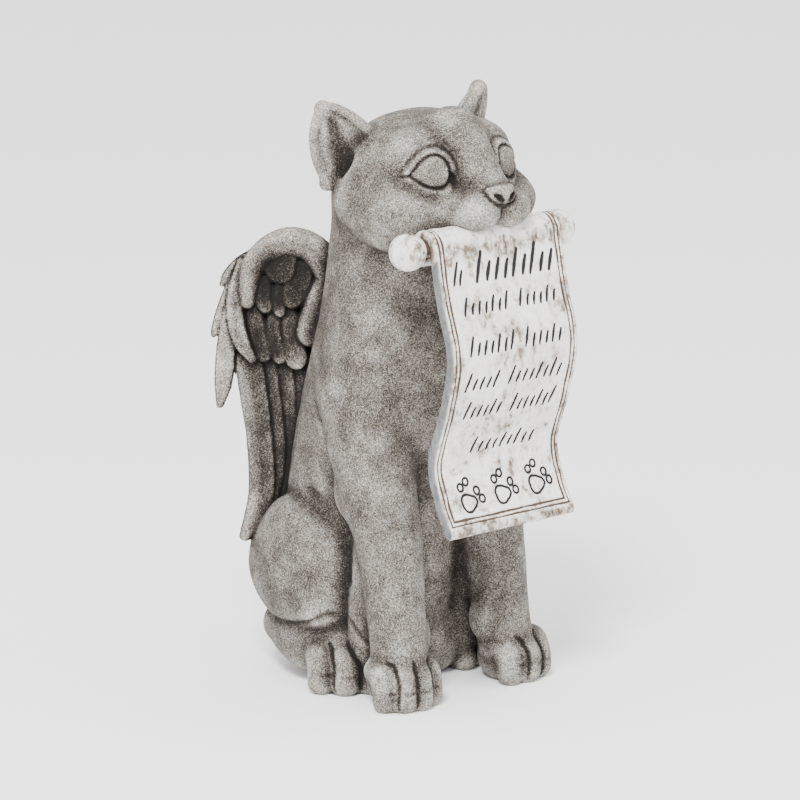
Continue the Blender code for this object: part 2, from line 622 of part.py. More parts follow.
def material(name, colour, roughness):
    surface = bpy.data.materials.new(name)
    surface.use_nodes = True
    shader = surface.node_tree.nodes["Principled BSDF"]
    shader.inputs["Base Color"].default_value = (*colour, 1)
    shader.inputs["Roughness"].default_value = roughness
    shader.inputs["Metallic"].default_value = 0
    return surface


def collect(name, objects):
    """Moves the objects into a collection of their own."""
    group = bpy.data.collections.new(name)
    bpy.context.scene.collection.children.link(group)
    for obj in objects:
        for owner in list(obj.users_collection):
            owner.objects.unlink(obj)
        group.objects.link(obj)


def main():
    for obj in list(bpy.data.objects):
        bpy.data.objects.remove(obj)
    parts, cutters = [], []
    for build, name, colour, roughness in (
        (cat, "grey resin stone", (0.27, 0.25, 0.235), 0.8),
        (scroll, "aged off-white paint", (0.68, 0.66, 0.61), 0.7),
    ):
        part, tools = build()
        part.data.materials.append(material(name, colour, roughness))
        parts.append(part)
        cutters += tools
    collect("cat garden statue", parts)
    collect("cutters", cutters)
    for cutter in cutters:
        cutter.hide_render = True
        cutter.display_type = "WIRE"


main()
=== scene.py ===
"""A cat garden statue: a seated cat with folded angel wings that holds a hanging scroll in its mouth.

The cat is modelled as clay, in millimetres: a grid of distances that balls, limbs and feathers are blended
into, which is then skinned. The cat looks along -Y, +X is its left side, and the ground is at z = 0.
"""

import math

import bpy
import numpy as np
import openvdb
from mathutils import Euler, Matrix, Vector


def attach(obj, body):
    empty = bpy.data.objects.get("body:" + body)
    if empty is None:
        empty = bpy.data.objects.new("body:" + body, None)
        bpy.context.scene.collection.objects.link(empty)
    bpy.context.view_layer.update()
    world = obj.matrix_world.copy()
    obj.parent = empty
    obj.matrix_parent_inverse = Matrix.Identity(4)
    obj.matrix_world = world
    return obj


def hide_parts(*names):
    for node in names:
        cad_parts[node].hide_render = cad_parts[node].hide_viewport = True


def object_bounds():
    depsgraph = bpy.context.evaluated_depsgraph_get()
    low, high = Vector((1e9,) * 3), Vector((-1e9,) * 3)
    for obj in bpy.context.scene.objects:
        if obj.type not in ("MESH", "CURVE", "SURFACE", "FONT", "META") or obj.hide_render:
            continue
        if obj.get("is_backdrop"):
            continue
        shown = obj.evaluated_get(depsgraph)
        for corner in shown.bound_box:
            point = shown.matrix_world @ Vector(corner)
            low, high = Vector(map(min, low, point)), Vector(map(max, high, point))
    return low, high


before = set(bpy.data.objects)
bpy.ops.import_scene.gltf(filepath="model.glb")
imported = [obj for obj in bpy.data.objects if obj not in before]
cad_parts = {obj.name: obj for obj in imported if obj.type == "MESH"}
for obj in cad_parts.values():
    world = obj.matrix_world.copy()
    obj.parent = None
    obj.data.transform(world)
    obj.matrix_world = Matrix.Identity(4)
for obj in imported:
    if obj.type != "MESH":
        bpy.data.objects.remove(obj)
cad_low, cad_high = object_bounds()


# Body: rump, belly, chest and neck of the seated cat, leaning forwards as they rise. The whole figure is one
# casting in grey resin stone, so every part of it is pressed into the same clay.
# Both halves are alike down to the feet, so one half is modelled first and mirrored.
MM = 0.001
OUTSIDE = 1000.0
SPARE = 10.0
# How far painted shade spreads from a carved line, in millimetres
SHADE_REACH = 0.9
CLAY_STEP = 0.9


def smooth_path(stations, steps):
    """Catmull-Rom curve through the stations, each a tuple of coordinates and sizes."""
    knots = np.array(stations, float)
    if len(knots) < 3:
        return knots
    padded = np.vstack([2 * knots[0] - knots[1], knots, 2 * knots[-1] - knots[-2]])
    path = []
    for i in range(len(knots) - 1):
        a, b, c, d = padded[i:i + 4]
        for t in np.arange(steps) / steps:
            path.append(0.5 * (2 * b + (c - a) * t + (2 * a - 5 * b + 4 * c - d) * t ** 2
                               + (3 * b - a - 3 * c + d) * t ** 3))
    return np.array(path + [knots[-1]])


def merge(old, new, blend):
    """The nearer of two distances, rounded where they are within the blend of each other."""
    if not blend:
        return np.minimum(old, new)
    overlap = np.maximum(blend - np.abs(old - new), 0.0) / blend
    return np.minimum(old, new) - overlap ** 3 * blend / 6


def cone_distance(grid, a, b):
    """Distance to a rod between two stations whose radius changes evenly."""
    along = b[:3] - a[:3]
    length2 = float(along @ along) + 1e-9
    offset = [axis - value for axis, value in zip(grid, a)]
    dot = offset[0] * along[0] + offset[1] * along[1] + offset[2] * along[2]
    t = np.clip(dot / length2, 0, 1)
    square = offset[0] ** 2 + offset[1] ** 2 + offset[2] ** 2 - t * (2 * dot - t * length2)
    return (np.sqrt(np.maximum(square, 0)) - a[3] - t * (b[3] - a[3])).astype(np.float32)


class Clay:
    """An even grid of distances in millimetres: below zero is clay."""

    def __init__(self, axes, field=None, painted_shade=None):
        self.axes = axes
        self.step = float(axes[0][1] - axes[0][0])
        self.field = np.full([len(axis) for axis in axes], OUTSIDE, np.float32) if field is None else field
        self.painted_shade = np.zeros(self.field.shape, np.float32) if painted_shade is None else painted_shade

    def mirrored(self):
        """The whole figure, from a half that starts on the symmetry plane."""
        across = self.axes[0]
        axes = [np.concatenate([-across[:0:-1], across]), self.axes[1], self.axes[2]]
        whole = [np.concatenate([volume[:0:-1], volume], axis=0) for volume in (self.field, self.painted_shade)]
        return Clay(axes, *whole)

    def window(self, low, high):
        """The part of the grid inside a box, as slices, and its coordinates, ready to broadcast."""
        parts = []
        for axis, a, b in zip(self.axes, low, high):
            first, last = np.searchsorted(axis, (a, b))
            parts.append(slice(int(first), int(last)))
        grid = np.meshgrid(*[axis[part] for axis, part in zip(self.axes, parts)], indexing="ij", sparse=True)
        return tuple(parts), grid

    def blend_in(self, parts, distance, blend, carve):
        """Adds a shape to the clay, or carves it away."""
        if carve:
            self.field[parts] = -merge(-self.field[parts], distance, blend)
        else:
            self.field[parts] = merge(self.field[parts], distance, blend)

    def ball(self, centre, radii, turn=(0, 0, 0), blend=6.0, carve=False):
        """An ellipsoid, turned by degrees about X, Y and Z."""
        reach = max(radii) + SPARE
        parts, grid = self.window([c - reach for c in centre], [c + reach for c in centre])
        turned = Euler([math.radians(a) for a in turn]).to_matrix().transposed()
        offset = [axis - c for axis, c in zip(grid, centre)]
        near, far = 0.0, 0.0
        for row, radius in zip(turned, radii):
            along = row[0] * offset[0] + row[1] * offset[1] + row[2] * offset[2]
            near = near + (along / radius) ** 2
            far = far + (along / radius ** 2) ** 2
        near = np.sqrt(near)
        distance = near * (near - 1) / np.maximum(np.sqrt(far), 1e-6)
        self.blend_in(parts, distance.astype(np.float32), blend, carve)

    def limb(self, stations, blend=6.0, carve=False, steps=6, painted_shade=0.0):
        """A round limb through stations of x, y, z and radius. It can paint shade on the clay that it
        touches.
        """
        path = smooth_path(stations, steps)
        span = path[:, 3].max() + SPARE
        parts, _ = self.window(path[:, :3].min(axis=0) - span, path[:, :3].max(axis=0) + span)
        distance = np.full([p.stop - p.start for p in parts], OUTSIDE, np.float32)
        for a, b in zip(path, path[1:]):
            inner, grid = self.window(np.minimum(a, b)[:3] - span, np.maximum(a, b)[:3] + span)
            local = tuple(slice(i.start - p.start, i.stop - p.start) for i, p in zip(inner, parts))
            distance[local] = np.minimum(distance[local], cone_distance(grid, a, b))
        self.blend_in(parts, distance, blend, carve)
        if painted_shade:
            line_shade = painted_shade * np.clip(1 - distance / SHADE_REACH, 0, 1)
            self.painted_shade[parts] = np.maximum(self.painted_shade[parts], line_shade)

    def at(self, points):
        """The distance at each point, read between the cells."""
        place = np.stack([(p - axis[0]) / self.step for p, axis in zip(points.T, self.axes)])
        place = np.clip(place, 0, np.array(self.field.shape)[:, None] - 1.001)
        low = place.astype(int)
        t = place - low
        value = 0
        for corner in range(8):
            pick = [(corner >> k) & 1 for k in range(3)]
            weight = np.prod([t[k] if pick[k] else 1 - t[k] for k in range(3)], axis=0)
            value = value + weight * self.field[tuple(low[k] + pick[k] for k in range(3))]
        return value

    def score(self, stations, radius, blend, painted_shade, steps=5):
        """A crease drawn on the surface, with painted shade in it: the stations only say where it runs."""
        path = smooth_path([(*s, 0, 0) for s in stations], steps)[:, :3]
        for _ in range(8):
            slope = np.stack([self.at(path + step) - self.at(path - step)
                              for step in np.eye(3) * self.step], axis=1) / (2 * self.step)
            slope /= np.maximum(np.linalg.norm(slope, axis=1), 0.2)[:, None]
            path = path - 0.8 * slope * np.clip(self.at(path), -3, 3)[:, None]
        ends = np.sin(np.linspace(0.15, math.pi - 0.15, len(path))) ** 0.4
        self.limb(np.column_stack([path, radius * ends]), blend=blend, carve=True, steps=1, painted_shade=painted_shade)

    def roughen(self, cell, height, seed):
        """Soft unevenness from working the clay by hand, about a cell wide."""
        shape = [int((axis[-1] - axis[0]) / cell) + 3 for axis in self.axes]
        bumps = np.random.default_rng(seed).uniform(-height, height, shape).astype(np.float32)
        for k, axis in enumerate(self.axes):
            place = (axis - axis[0]) / cell
            low = place.astype(int)
            t = place - low
            t = (t * t * (3 - 2 * t)).reshape([-1 if i == k else 1 for i in range(3)])
            bumps = np.take(bumps, low, axis=k) * (1 - t) + np.take(bumps, low + 1, axis=k) * t
        self.field += bumps.astype(np.float32)


half = Clay([np.arange(a, b + CLAY_STEP, CLAY_STEP, dtype=np.float32)
             for a, b in ((0, 92), (-106, 112), (-3 * CLAY_STEP, 352))])
half.limb([(0, 36, 42, 42), (0, 32, 74, 47), (0, 20, 118, 50), (0, 8, 165, 49.5),
           (0, -2, 205, 47.5), (0, -7, 240, 45.5), (0, -12, 275, 45.5)], blend=0)
half.ball((16, 42, 38), (32, 38, 38), blend=20)
half.ball((0, -20, 185), (42, 36, 62), turn=(-6, 0, 0), blend=24)
half.ball((34, -14, 195), (22, 28, 46), turn=(8, 0, 0), blend=18)
half.ball((0, -8, 78), (34, 24, 72), blend=16)
half.ball((24, 20, 60), (32, 34, 56), blend=14)
half.ball((14, -4, 24), (32, 24, 27), blend=10)
half.limb([(33, -20, 96, 13), (36, -21, 62, 15), (36, -18, 26, 14)], blend=8)


# Wings: a folded wing on each side of the back, cast with the body. A broad arched leading edge turns over at
# the top and ends in a rounded lobe. Short feathers lie in the cup below it, long ones hang to the haunch,
# and the plain back of the wing has three rows of broad feathers.
WING_ROOT = (22.0, 32.0)
WING_HEADING = 136.2
WING_CURL = 0.0055
WING_THICKNESS = 4.6
CHART = 0.45


class Wing:
    """The wing's two faces, as heights out of its middle over a flat chart of along the spread and up."""

    def __init__(self):
        self.along, self.up = np.meshgrid(np.arange(-8, 80, CHART), np.arange(60, 276, CHART), indexing="ij")
        self.front = np.full(self.along.shape, -60.0)
        self.back = self.front.copy()
        # The painted shade and shadow lines on the wing's front
        self.dark = np.zeros(self.along.shape)

    def feather(self, stations, lift, rise=1.5, tilt=-0.06, thick=3.0, soft=2.0, rear=False, shadow=1.0):
        """A rounded leaf through stations of along, up and half width.

        It rises towards its tip, tilts across the spread, has a faint groove down its middle, and
        leaves a painted shadow line on what it overlaps.
        """
        path = smooth_path(stations, 6)
        outline = np.full(self.along.shape, OUTSIDE)
        share = np.zeros(self.along.shape)
        for i, (a, b) in enumerate(zip(path, path[1:])):
            run = b[:2] - a[:2]
            along, up = self.along - a[0], self.up - a[1]
            t = np.clip((along * run[0] + up * run[1]) / max(run @ run, 1e-6), 0, 1)
            gap = np.hypot(along - t * run[0], up - t * run[1]) - a[2] - t * (b[2] - a[2])
            closer = gap < outline
            outline[closer] = gap[closer]
            share[closer] = ((i + t) / (len(path) - 1))[closer]
        edge = np.sqrt(np.maximum(0, 1 - np.clip(1 + outline / soft, 0, 1) ** 2))
        middle = np.clip(-outline / path[:, 2].max() * 5 - 4, 0, 1)
        level = lift + rise * share + tilt * (self.along - path[len(path) // 2, 0])
        height = level - thick * (1 - edge) - 0.35 * middle - 5 * np.maximum(outline, 0)
        face = self.back if rear else self.front
        if not rear:
            under = WING_THICKNESS - level - 1.6 * (1 - edge) - 5 * np.maximum(outline, 0)
            np.maximum(self.back, under, out=self.back)
            # A painted shadow along the feather's edge, on what lies under it
            proud = shadow * np.clip((height + thick - face) / 1.5, 0, 1) * (outline > -0.5)
            self.dark = np.maximum(np.where((outline < 0) & (height > face), 0, self.dark),
                                   proud * np.exp(-(np.maximum(outline, 0) / 0.8) ** 2) * (outline < 3))
        np.maximum(face, height, out=face)

    def read(self, chart, along, up):
        """The chart's value at each place, read between its points."""
        a = np.clip((along - self.along[0, 0]) / CHART, 0, chart.shape[0] - 1.001)
        b = np.clip((up - self.up[0, 0]) / CHART, 0, chart.shape[1] - 1.001)
        i, j = a.astype(int), b.astype(int)
        t, u = a - i, b - j
        return ((chart[i, j] * (1 - t) + chart[i + 1, j] * t) * (1 - u)
                + (chart[i, j + 1] * (1 - t) + chart[i + 1, j + 1] * t) * u).astype(np.float32)

    def attach(self, clay):
        """Bends the wing round the back and joins it to the clay."""
        parts, (x, y, z) = clay.window((10, 10, 66), (92, 110, 276))
        turn = math.radians(WING_HEADING)
        outwards, across = (math.sin(turn), -math.cos(turn)), (-math.cos(turn), -math.sin(turn))
        along = (x - WING_ROOT[0]) * outwards[0] + (y - WING_ROOT[1]) * outwards[1]
        out = (x - WING_ROOT[0]) * across[0] + (y - WING_ROOT[1]) * across[1]
        out = out - WING_CURL * (along - 26) ** 2 * np.sign(along - 26)
        front = out - self.read(self.front, along, z)
        back = -out - self.read(self.back, along, z)
        clay.blend_in(parts, np.maximum(front, back) * 0.8, 1.5, carve=False)
        # The wing's painted shade and shadow lines go onto the clay
        touched = self.read(self.dark, along, z) * (np.abs(front) < 4) * (out > -4)
        clay.painted_shade[parts] = np.maximum(clay.painted_shade[parts], touched)


wing = Wing()
# The back's three rows of feathers, from the lowest up
for row, (top, length) in enumerate(((196, 96), (228, 50), (250, 40))):
    for place in np.arange(4, 58 - 5 * (2 - row), 9.2):
        sag = 0.011 * (place - 22) ** 2
        droop = 30 if row == 0 and place > 30 else 0
        wing.feather([(place, top - sag, 6), (place + 1, top - sag - length / 2, 6.6),
                      (place + 0.5, top - sag - length - droop, 3.6)],
                     5.5 + 1.3 * row, rise=2.4, tilt=0.07, rear=True)
# The front's feathers, from the farthest to the nearest, each with its stations, lift, rise and tilt
for stations, lift, rise, tilt in (
    ([(18, 236, 22), (26, 205, 25), (28, 170, 20), (34, 130, 12), (42, 100, 7)], -5, 0, 0),
    ([(20, 180, 9), (21, 160, 8), (24, 138, 4)], -3.6, 1, -0.08),
    ([(31, 195, 7), (29, 160, 7.5), (28, 130, 7), (31, 104, 5)], -3.2, 1.2, -0.08),
    ([(41, 195, 7), (37, 160, 7), (34, 128, 6.5), (38, 96, 5)], -2.4, 1.6, -0.1),
    ([(52, 205, 8), (47, 170, 8.5), (43, 138, 8), (42, 108, 8), (46, 92, 6.5), (52, 80, 3.5)], -1.2, 2, -0.1),
    ([(44, 249, 3), (53, 243, 3.8), (60, 236, 3.4), (63.6, 230.5, 1.6)], 0, 1.0, -0.1),
    ([(50, 246, 3), (55.5, 235, 3.8), (62, 218, 4.2), (66.4, 206, 3.2), (68.4, 201, 1.5)], 0.6, 1.0, -0.1),
    ([(55, 232, 3), (59.5, 212, 4.2), (61.8, 190, 5.6), (63, 173, 5.2), (65, 160, 2.4)], 1.2, 1.4, -0.1),
    ([(52, 244, 3), (56, 226, 4.6), (55.5, 209, 5.2), (52, 196, 4.8), (46.6, 187, 3)], 3.0, 1.6, -0.1),
    ([(45.5, 214, 5), (44, 202, 5.8), (40, 189, 5.2)], 0.2, 1.4, -0.15),
    ([(34, 214, 4), (34.5, 202, 5), (31, 187.5, 4.8)], 0.8, 1.4, -0.12),
    ([(25, 212, 5), (23.5, 200, 6.4), (21, 186.5, 7.0)], 1.6, 1.6, -0.1),
    ([(39, 232, 4), (40, 222, 5.2), (38.6, 217.6, 4.8)], 2.6, 1.0, -0.1),
    ([(31.5, 228, 3.4), (31, 219, 4.2), (30.5, 214.6, 4.0)], 3.0, 1.0, 0.0),
    ([(18, 238, 7), (20.5, 228, 8.4), (23, 222.4, 6.4)], 3.0, 1.4, 0.05),
    ([(29, 250, 10), (30, 240, 9.4)], 3.4, 1.4, 0.0),
):
    wing.feather(stations, lift, rise, tilt)
# The arch, whose two ends hang free as rounded lobes
for stations, lift, soft, shadow in (
    ([(-2, 238, 8), (4, 226, 9.5), (9, 212, 10), (12, 202.5, 9.6)], 6.6, 5, 1),
    ([(48.8, 220.5, 4.4), (48.2, 230, 5.8), (45.5, 241, 7.2), (36.5, 251, 8.2), (24, 255.8, 8.6),
      (11, 251, 9), (2, 238, 9), (1, 224, 8)], 7.4, 8, 0.25),
):
    wing.feather(stations, lift, 0, 0, thick=6.5, soft=soft, shadow=shadow)
    wing.feather([(a, u, w * 0.96) for a, u, w in stations], 4.5, 0, 0, thick=6, soft=6, rear=True)
# Painted shade in the cup under the arch, on the feathers below it and down the long ones
for along, up, wide, tall, amount in (
    (29, 230, 14, 20, 0.55),
    (33, 196, 13, 16, 0.4),
    (36, 150, 16, 44, 0.35),
):
    shade = amount * np.exp(-((wing.along - along) / wide) ** 4 - ((wing.up - up) / tall) ** 4)
    wing.dark = np.maximum(wing.dark, shade)
wing.attach(half)


# Shoulders, upper arms and thighs: rounded muscles under the skin, with a deep crease where each folds
# against the body. They are part of the casting.
half.limb([(36, -8, 175, 24), (38, -19, 145, 23.5), (39, -28, 118, 21.5), (39, -36, 92, 17)], blend=10)
half.ball((43, -16, 118), (13, 16, 18), turn=(-25, 0, 0), blend=8)
half.limb([(50, 8, 158, 2.5), (55, -1, 138, 3), (57, -4, 122, 2.5)], blend=5, carve=True)
half.ball((43, 30, 70), (25, 36, 41), turn=(-20, 0, 0), blend=4)
half.ball((43, 46, 64), (20, 30, 32), turn=(-10, 0, 0), blend=8)
half.ball((43, 12, 60), (20, 19, 28), turn=(-12, 0, 0), blend=8)
half.limb([(36, 58, 44, 12), (46, 36, 42, 13), (52, 10, 46, 10)], blend=10)
half.limb([(50, 20, 114, 2.5), (51, 6, 107, 3), (51, -7, 90, 3), (49, -12, 68, 3)], blend=6, carve=True)


# Head: a broad round skull with full cheeks, soft jowls and a short muzzle whose lips close on the scroll.
# It is cast with the body.
half.ball((0, -21, 295), (54, 48, 42), blend=12)
half.ball((22, -42.5, 311), (22, 18, 20), turn=(-20, 0, 0), blend=12)
half.ball((36, -46, 285), (20, 22, 17), blend=12)
half.limb([(42, -16, 288, 12), (42, -34, 277, 12), (34, -50, 272, 10)], blend=14)
half.ball((0, -62, 288), (34, 22, 15), blend=12)
half.ball((11.5, -77.5, 286.5), (15, 14, 11), blend=6)
half.ball((0, -50, 262), (26, 20, 12), blend=12)
half.limb([(0, -46, 325, 16), (0, -60, 312, 14.5), (0, -77, 301, 9.5)], blend=14)


# Nose and cleft lip: a small flat nose leather with two nostrils, and the groove that runs down from it.
# They are pressed into the same casting.
half.ball((0, -86.2, 295.8), (10, 5.4, 6.2), blend=1.5)
half.limb([(0, -89.6, 300.2, 1.6), (4.5, -88.6, 300.6, 1.6), (8.6, -85.4, 299.2, 1.5)], blend=1.5)
# The nostrils, the edges of the nose leather and the groove below it get painted shade
half.limb([(2.9, -91.6, 293.4, 1.0), (4.4, -91.0, 295.2, 1.5), (6.8, -89.2, 296.8, 0.8)],
          blend=0.5, carve=True, painted_shade=1)
half.score([(0, -89, 302.6), (5, -88, 303), (9.8, -84, 301.4), (11, -83, 298)], 0.5, blend=1.2, painted_shade=0.2)
half.score([(9.6, -84, 297.5), (7.4, -88, 292.8), (3.6, -91, 290.4), (0.4, -92.4, 289.2)],
           0.8, blend=1.0, painted_shade=0.35)
half.limb([(0, -93, 291, 0.9), (0, -93.4, 284, 0.9), (0, -92.6, 279, 1.1)], blend=1.0, carve=True, painted_shade=0.9)


# Eyes: a large blank eyeball bulging between raised lids, turned outwards, with a deep inner corner.
# They are cast with the head and left plain.
EYE_TURN = math.radians(25)
EYE_FRONT = (27.9, -60.8, 309.0)
# The opening between the lids, from the outer corner over the top, as places outwards and up from its middle
EYE_OPENING = ((13.4, -2.2), (10.4, 2.2), (6.6, 6.2), (2.0, 8.7), (-2.8, 9.0), (-6.8, 7.0), (-9.2, 3.2),
               (-10.0, -1.4), (-8.8, -6.0), (-5.0, -8.8), (0.2, -9.0), (5.2, -7.4), (9.6, -4.6), (13.4, -2.2))
EYE_REACH = 26


def bell(value, middle, width):
    """One at the middle, fading smoothly to none over about twice the width."""
    return np.exp(-((value - middle) / width) ** 2)


parts, (x, y, z) = half.window([c - EYE_REACH for c in EYE_FRONT], [c + EYE_REACH for c in EYE_FRONT])
wide = (x - EYE_FRONT[0]) * math.cos(EYE_TURN) + (y - EYE_FRONT[1]) * math.sin(EYE_TURN)
wide, high = np.broadcast_arrays(wide, z - EYE_FRONT[2])
# Each place's distance from the opening's outline, below zero inside it
gap, crossings = np.full(wide.shape, OUTSIDE), np.zeros(wide.shape, int)
outline = smooth_path(EYE_OPENING, 2)
for (a, b), (c, d) in zip(outline, outline[1:]):
    t = np.clip(((wide - a) * (c - a) + (high - b) * (d - b)) / ((c - a) ** 2 + (d - b) ** 2), 0, 1)
    gap = np.minimum(gap, np.hypot(wide - a - t * (c - a), high - b - t * (d - b)))
    if b != d:
        crossings += ((b > high) != (d > high)) & (wide < (c - a) * (high - b) / (d - b) + a)
gap = np.where(crossings % 2 == 1, -gap, gap)
upper = np.clip(0.5 + high / 8, 0, 1)
eyeball = -3.0 + 4.4 * np.sqrt(np.clip(1 - (wide / 15.5) ** 2 - (high / 12.5) ** 2, 0, 1))
# The lid's rim, the fold above it, the socket round it and the pouch below it
lid = ((0.15 + 0.45 * upper) * bell(gap, 1.3, 1.5) - 0.8 * upper * bell(gap, 4.4, 1.0)
       - 0.9 * bell(gap, 7, 3.2) - 0.6 * (1 - upper) * bell(gap, 4.6, 1.6))
inner = bell(wide, -11.2, 1.7) * bell(high, -4.6, 3.2)
outer = bell(high + 0.1 * (wide - 13), -2.2, 0.8)
outer = outer * np.clip((wide - 12) / 2, 0, 1) * np.clip((20 - wide) / 4, 0, 1)
relief = np.where(gap < 0, eyeball, lid) - 1.2 * bell(gap, 0, 0.7) - 3.0 * inner - 0.9 * outer
half.field[parts] -= relief.astype(np.float32)
# Painted shade along the line between eyeball and lids, in the fold above and in the inner and outer corners
line = np.maximum.reduce([0.5 * bell(gap, 0, 0.75), 0.3 * upper * bell(gap, 4.6, 0.8), inner, 0.6 * outer])
half.painted_shade[parts] = np.maximum(half.painted_shade[parts], (line * (np.abs(half.field[parts]) < 4)).astype(np.float32))


# Ears: pointed cups that lean outwards, hollow on the front, with a thick rounded edge.
# They are cast with the head.
ear_tip = np.array([59.0, -3.0, 341.0])
ear_inner, ear_outer = np.array([33.0, -11.0, 322.0]), np.array([53.0, 1.0, 297.0])
for share in np.arange(12) / 11:
    foot = ear_inner + (ear_outer - ear_inner) * share
    half.limb([(*foot, 5.4 - 1.6 * share), (*ear_tip, 2.4)], blend=4)
half.limb([(33, -16, 325, 2.6), (45, -13, 336, 2.6), (56.5, -7.6, 342.2, 2.3), (62.4, -4, 338, 2.4),
           (64, -1, 327, 2.6), (60.5, 0, 311, 2.8), (53, -1, 297, 2.6)], blend=3, steps=8)
# The hollow of the ear gets a little painted shade
half.limb([(57, -9.5, 334, 2.6), (54.5, -10.5, 324, 5), (51, -11, 314, 6.4), (49.5, -10, 306, 4.6)],
          blend=4, carve=True, painted_shade=0.2)


# Hind feet: long feet flat on the ground under the folded thighs, each with four rounded toes.
# The left one turns out a little more than the right.
figure = half.mirrored()
del half


def paw(clay, wrist, heading, toes):
    """Rounded toes side by side. Each toe has its place across the paw, its reach ahead and its radius."""
    turn = math.radians(heading)
    side = math.copysign(1, wrist[0])
    ahead = np.array([side * math.sin(turn), -math.cos(turn)])
    outwards = side * np.array([math.cos(turn), side * math.sin(turn)])

    def spot(place, reach):
        """The point so far outwards from the wrist and so far ahead of it."""
        return np.array(wrist) + outwards * place + ahead * reach

    clay.ball((*wrist, 12), (18, 17, 14), blend=8)
    for place, reach, radius in toes:
        root, knuckle, bend, tip = (
            spot(place * spread, reach - back)
            for spread, back in ((0.9, 14), (1.0, 4.6), (1.02, 1.6), (1.02, 1.2)))
        clay.limb([(*root, 21, radius), (*knuckle, 19, radius + 0.4), (*bend, 12.5, radius + 0.1),
                   (*tip, radius - 1.5, radius - 0.2)], blend=5, steps=4)
    # The grooves between the toes and the creases across them get painted shade
    for left, right in zip(toes, toes[1:]):
        place, reach = (left[0] + right[0]) / 2, (left[1] + right[1]) / 2
        line = [(*spot(place * spread, reach + forward), height)
                for spread, forward, height in ((0.9, -7, 28), (0.97, -1, 25), (1.02, 5, 17), (1.02, 5, 3))]
        clay.score(line, 0.8, blend=1.8, painted_shade=0.6)
    for place, reach, radius in toes:
        crease = [(*spot(place * 1.02 + offset, reach + 8), 12 + rise)
                  for offset, rise in ((-radius * 0.6, 0.8), (0, 0), (radius * 0.6, 0.8))]
        clay.score(crease, 0.45, blend=1.2, painted_shade=0.25)


HIND_TOES = ((19, 8, 7.6), (7, 15, 9), (-8, 16, 9), (-20, 9, 7.6))
for side, (ball_x, ball_y), heading in ((-1, (40, -3), 24), (1, (47, -2), 34)):
    middle = (side * (37 + ball_x) / 2 + side * 4, (60 + ball_y) / 2)
    figure.limb([(side * 36, 59, 25, 13.5), (*middle, 23, 18.2), (side * ball_x, ball_y + 3, 22, 17.5)],
                blend=4)
    paw(figure, (side * ball_x, ball_y), heading, HIND_TOES)
    fold = ((56, 48, 33), (60, 20, 37), (61, -4, 44), (55, -18, 42), (46, -28, 33))
    # The fold round the haunch gets painted shade
    figure.score([(side * x, y, z) for x, y, z in fold], 0.9, blend=5, painted_shade=0.3)


# Forelegs: straight from the elbow down to the front paws, which stand a little apart.
# The left paw turns out more and stands wider.
for side, place, heading, toes in (
    (-1, (41, -47), 12, ((14, 11, 7.4), (4.8, 16, 8.4), (-5.6, 16, 8.2), (-15, 11, 7.0))),
    (1, (44.5, -47), 24, ((17.5, 12, 7.6), (6.5, 16.5, 8.6), (-5, 15, 8.4), (-15.5, 9, 7.2))),
):
    figure.limb([(side * 39, -30, 118, 17), (side * 39, -36, 98, 18), (side * 39.5, -40, 77, 17.8),
                 (side * 40, -44, 50, 16.6), (side * 40.5, -47, 30, 16.4), (side * place[0], -48, 16, 16)],
                blend=8)
    figure.ball((side * 26, -45, 38), (7, 9, 12), blend=8)
    paw(figure, (side * place[0], place[1]), heading, toes)


# Tail: lies on the ground round the left haunch, out of sight from the front, and tapers to a blunt end.
# It is cast with the body.
figure.limb([(0, 84, 12, 13), (36, 82, 11, 12), (62, 66, 11, 12), (76, 42, 10, 11), (78, 20, 9, 9)], blend=4)


# Skin of the casting: the clay gets its hand-worked unevenness, a flat underside and the groove across the
# mouth that the scroll sits in. Each point then notes how deep in a hollow it lies, for the paint and its
# painted shade.
SCROLL_WIDTH = 96.0
SCROLL_LENGTH = 159.0
SCROLL_THICKNESS = 6.0
ROD_RADIUS = 4.5
MOUTH = (-75.0, 269.3)
MOST_TRIANGLES = 190000
HAIR = 0.02 * MM


def blurred(volume, reach):
    """Each cell's mean over a box that reaches so many cells each way."""
    for k in range(3):
        pad = [(reach + 1, reach) if i == k else (0, 0) for i in range(3)]
        total = np.cumsum(np.pad(volume, pad, mode="edge"), axis=k, dtype=np.float32)
        count = volume.shape[k]
        late = np.take(total, range(2 * reach + 1, count + 2 * reach + 1), axis=k)
        volume = (late - np.take(total, range(count), axis=k)) / (2 * reach + 1)
    return volume


def outer_shell(quads):
    """The quads of the largest connected surface, without pockets closed in between lumps of clay."""
    label = np.arange(quads.max() + 1)
    while True:
        least = label.copy()
        np.minimum.at(least, quads.ravel(), np.repeat(label[quads].min(axis=1), 4))
        least = least[least]
        if np.array_equal(least, label):
            return quads[label[quads[:, 0]] == np.bincount(label).argmax()]
        label = least


def points_of(mesh):
    """The mesh's points, a row of x, y and z in metres for each."""
    flat = np.empty(len(mesh.vertices) * 3, np.float32)
    mesh.vertices.foreach_get("co", flat)
    return flat.reshape(-1, 3)


def keep(mesh, name, values):
    """Keeps a value at each of the mesh's points, for its paint to read."""
    attribute = mesh.attributes.new(name, "FLOAT", "POINT")
    attribute.data.foreach_set("value", values.astype(np.float32))


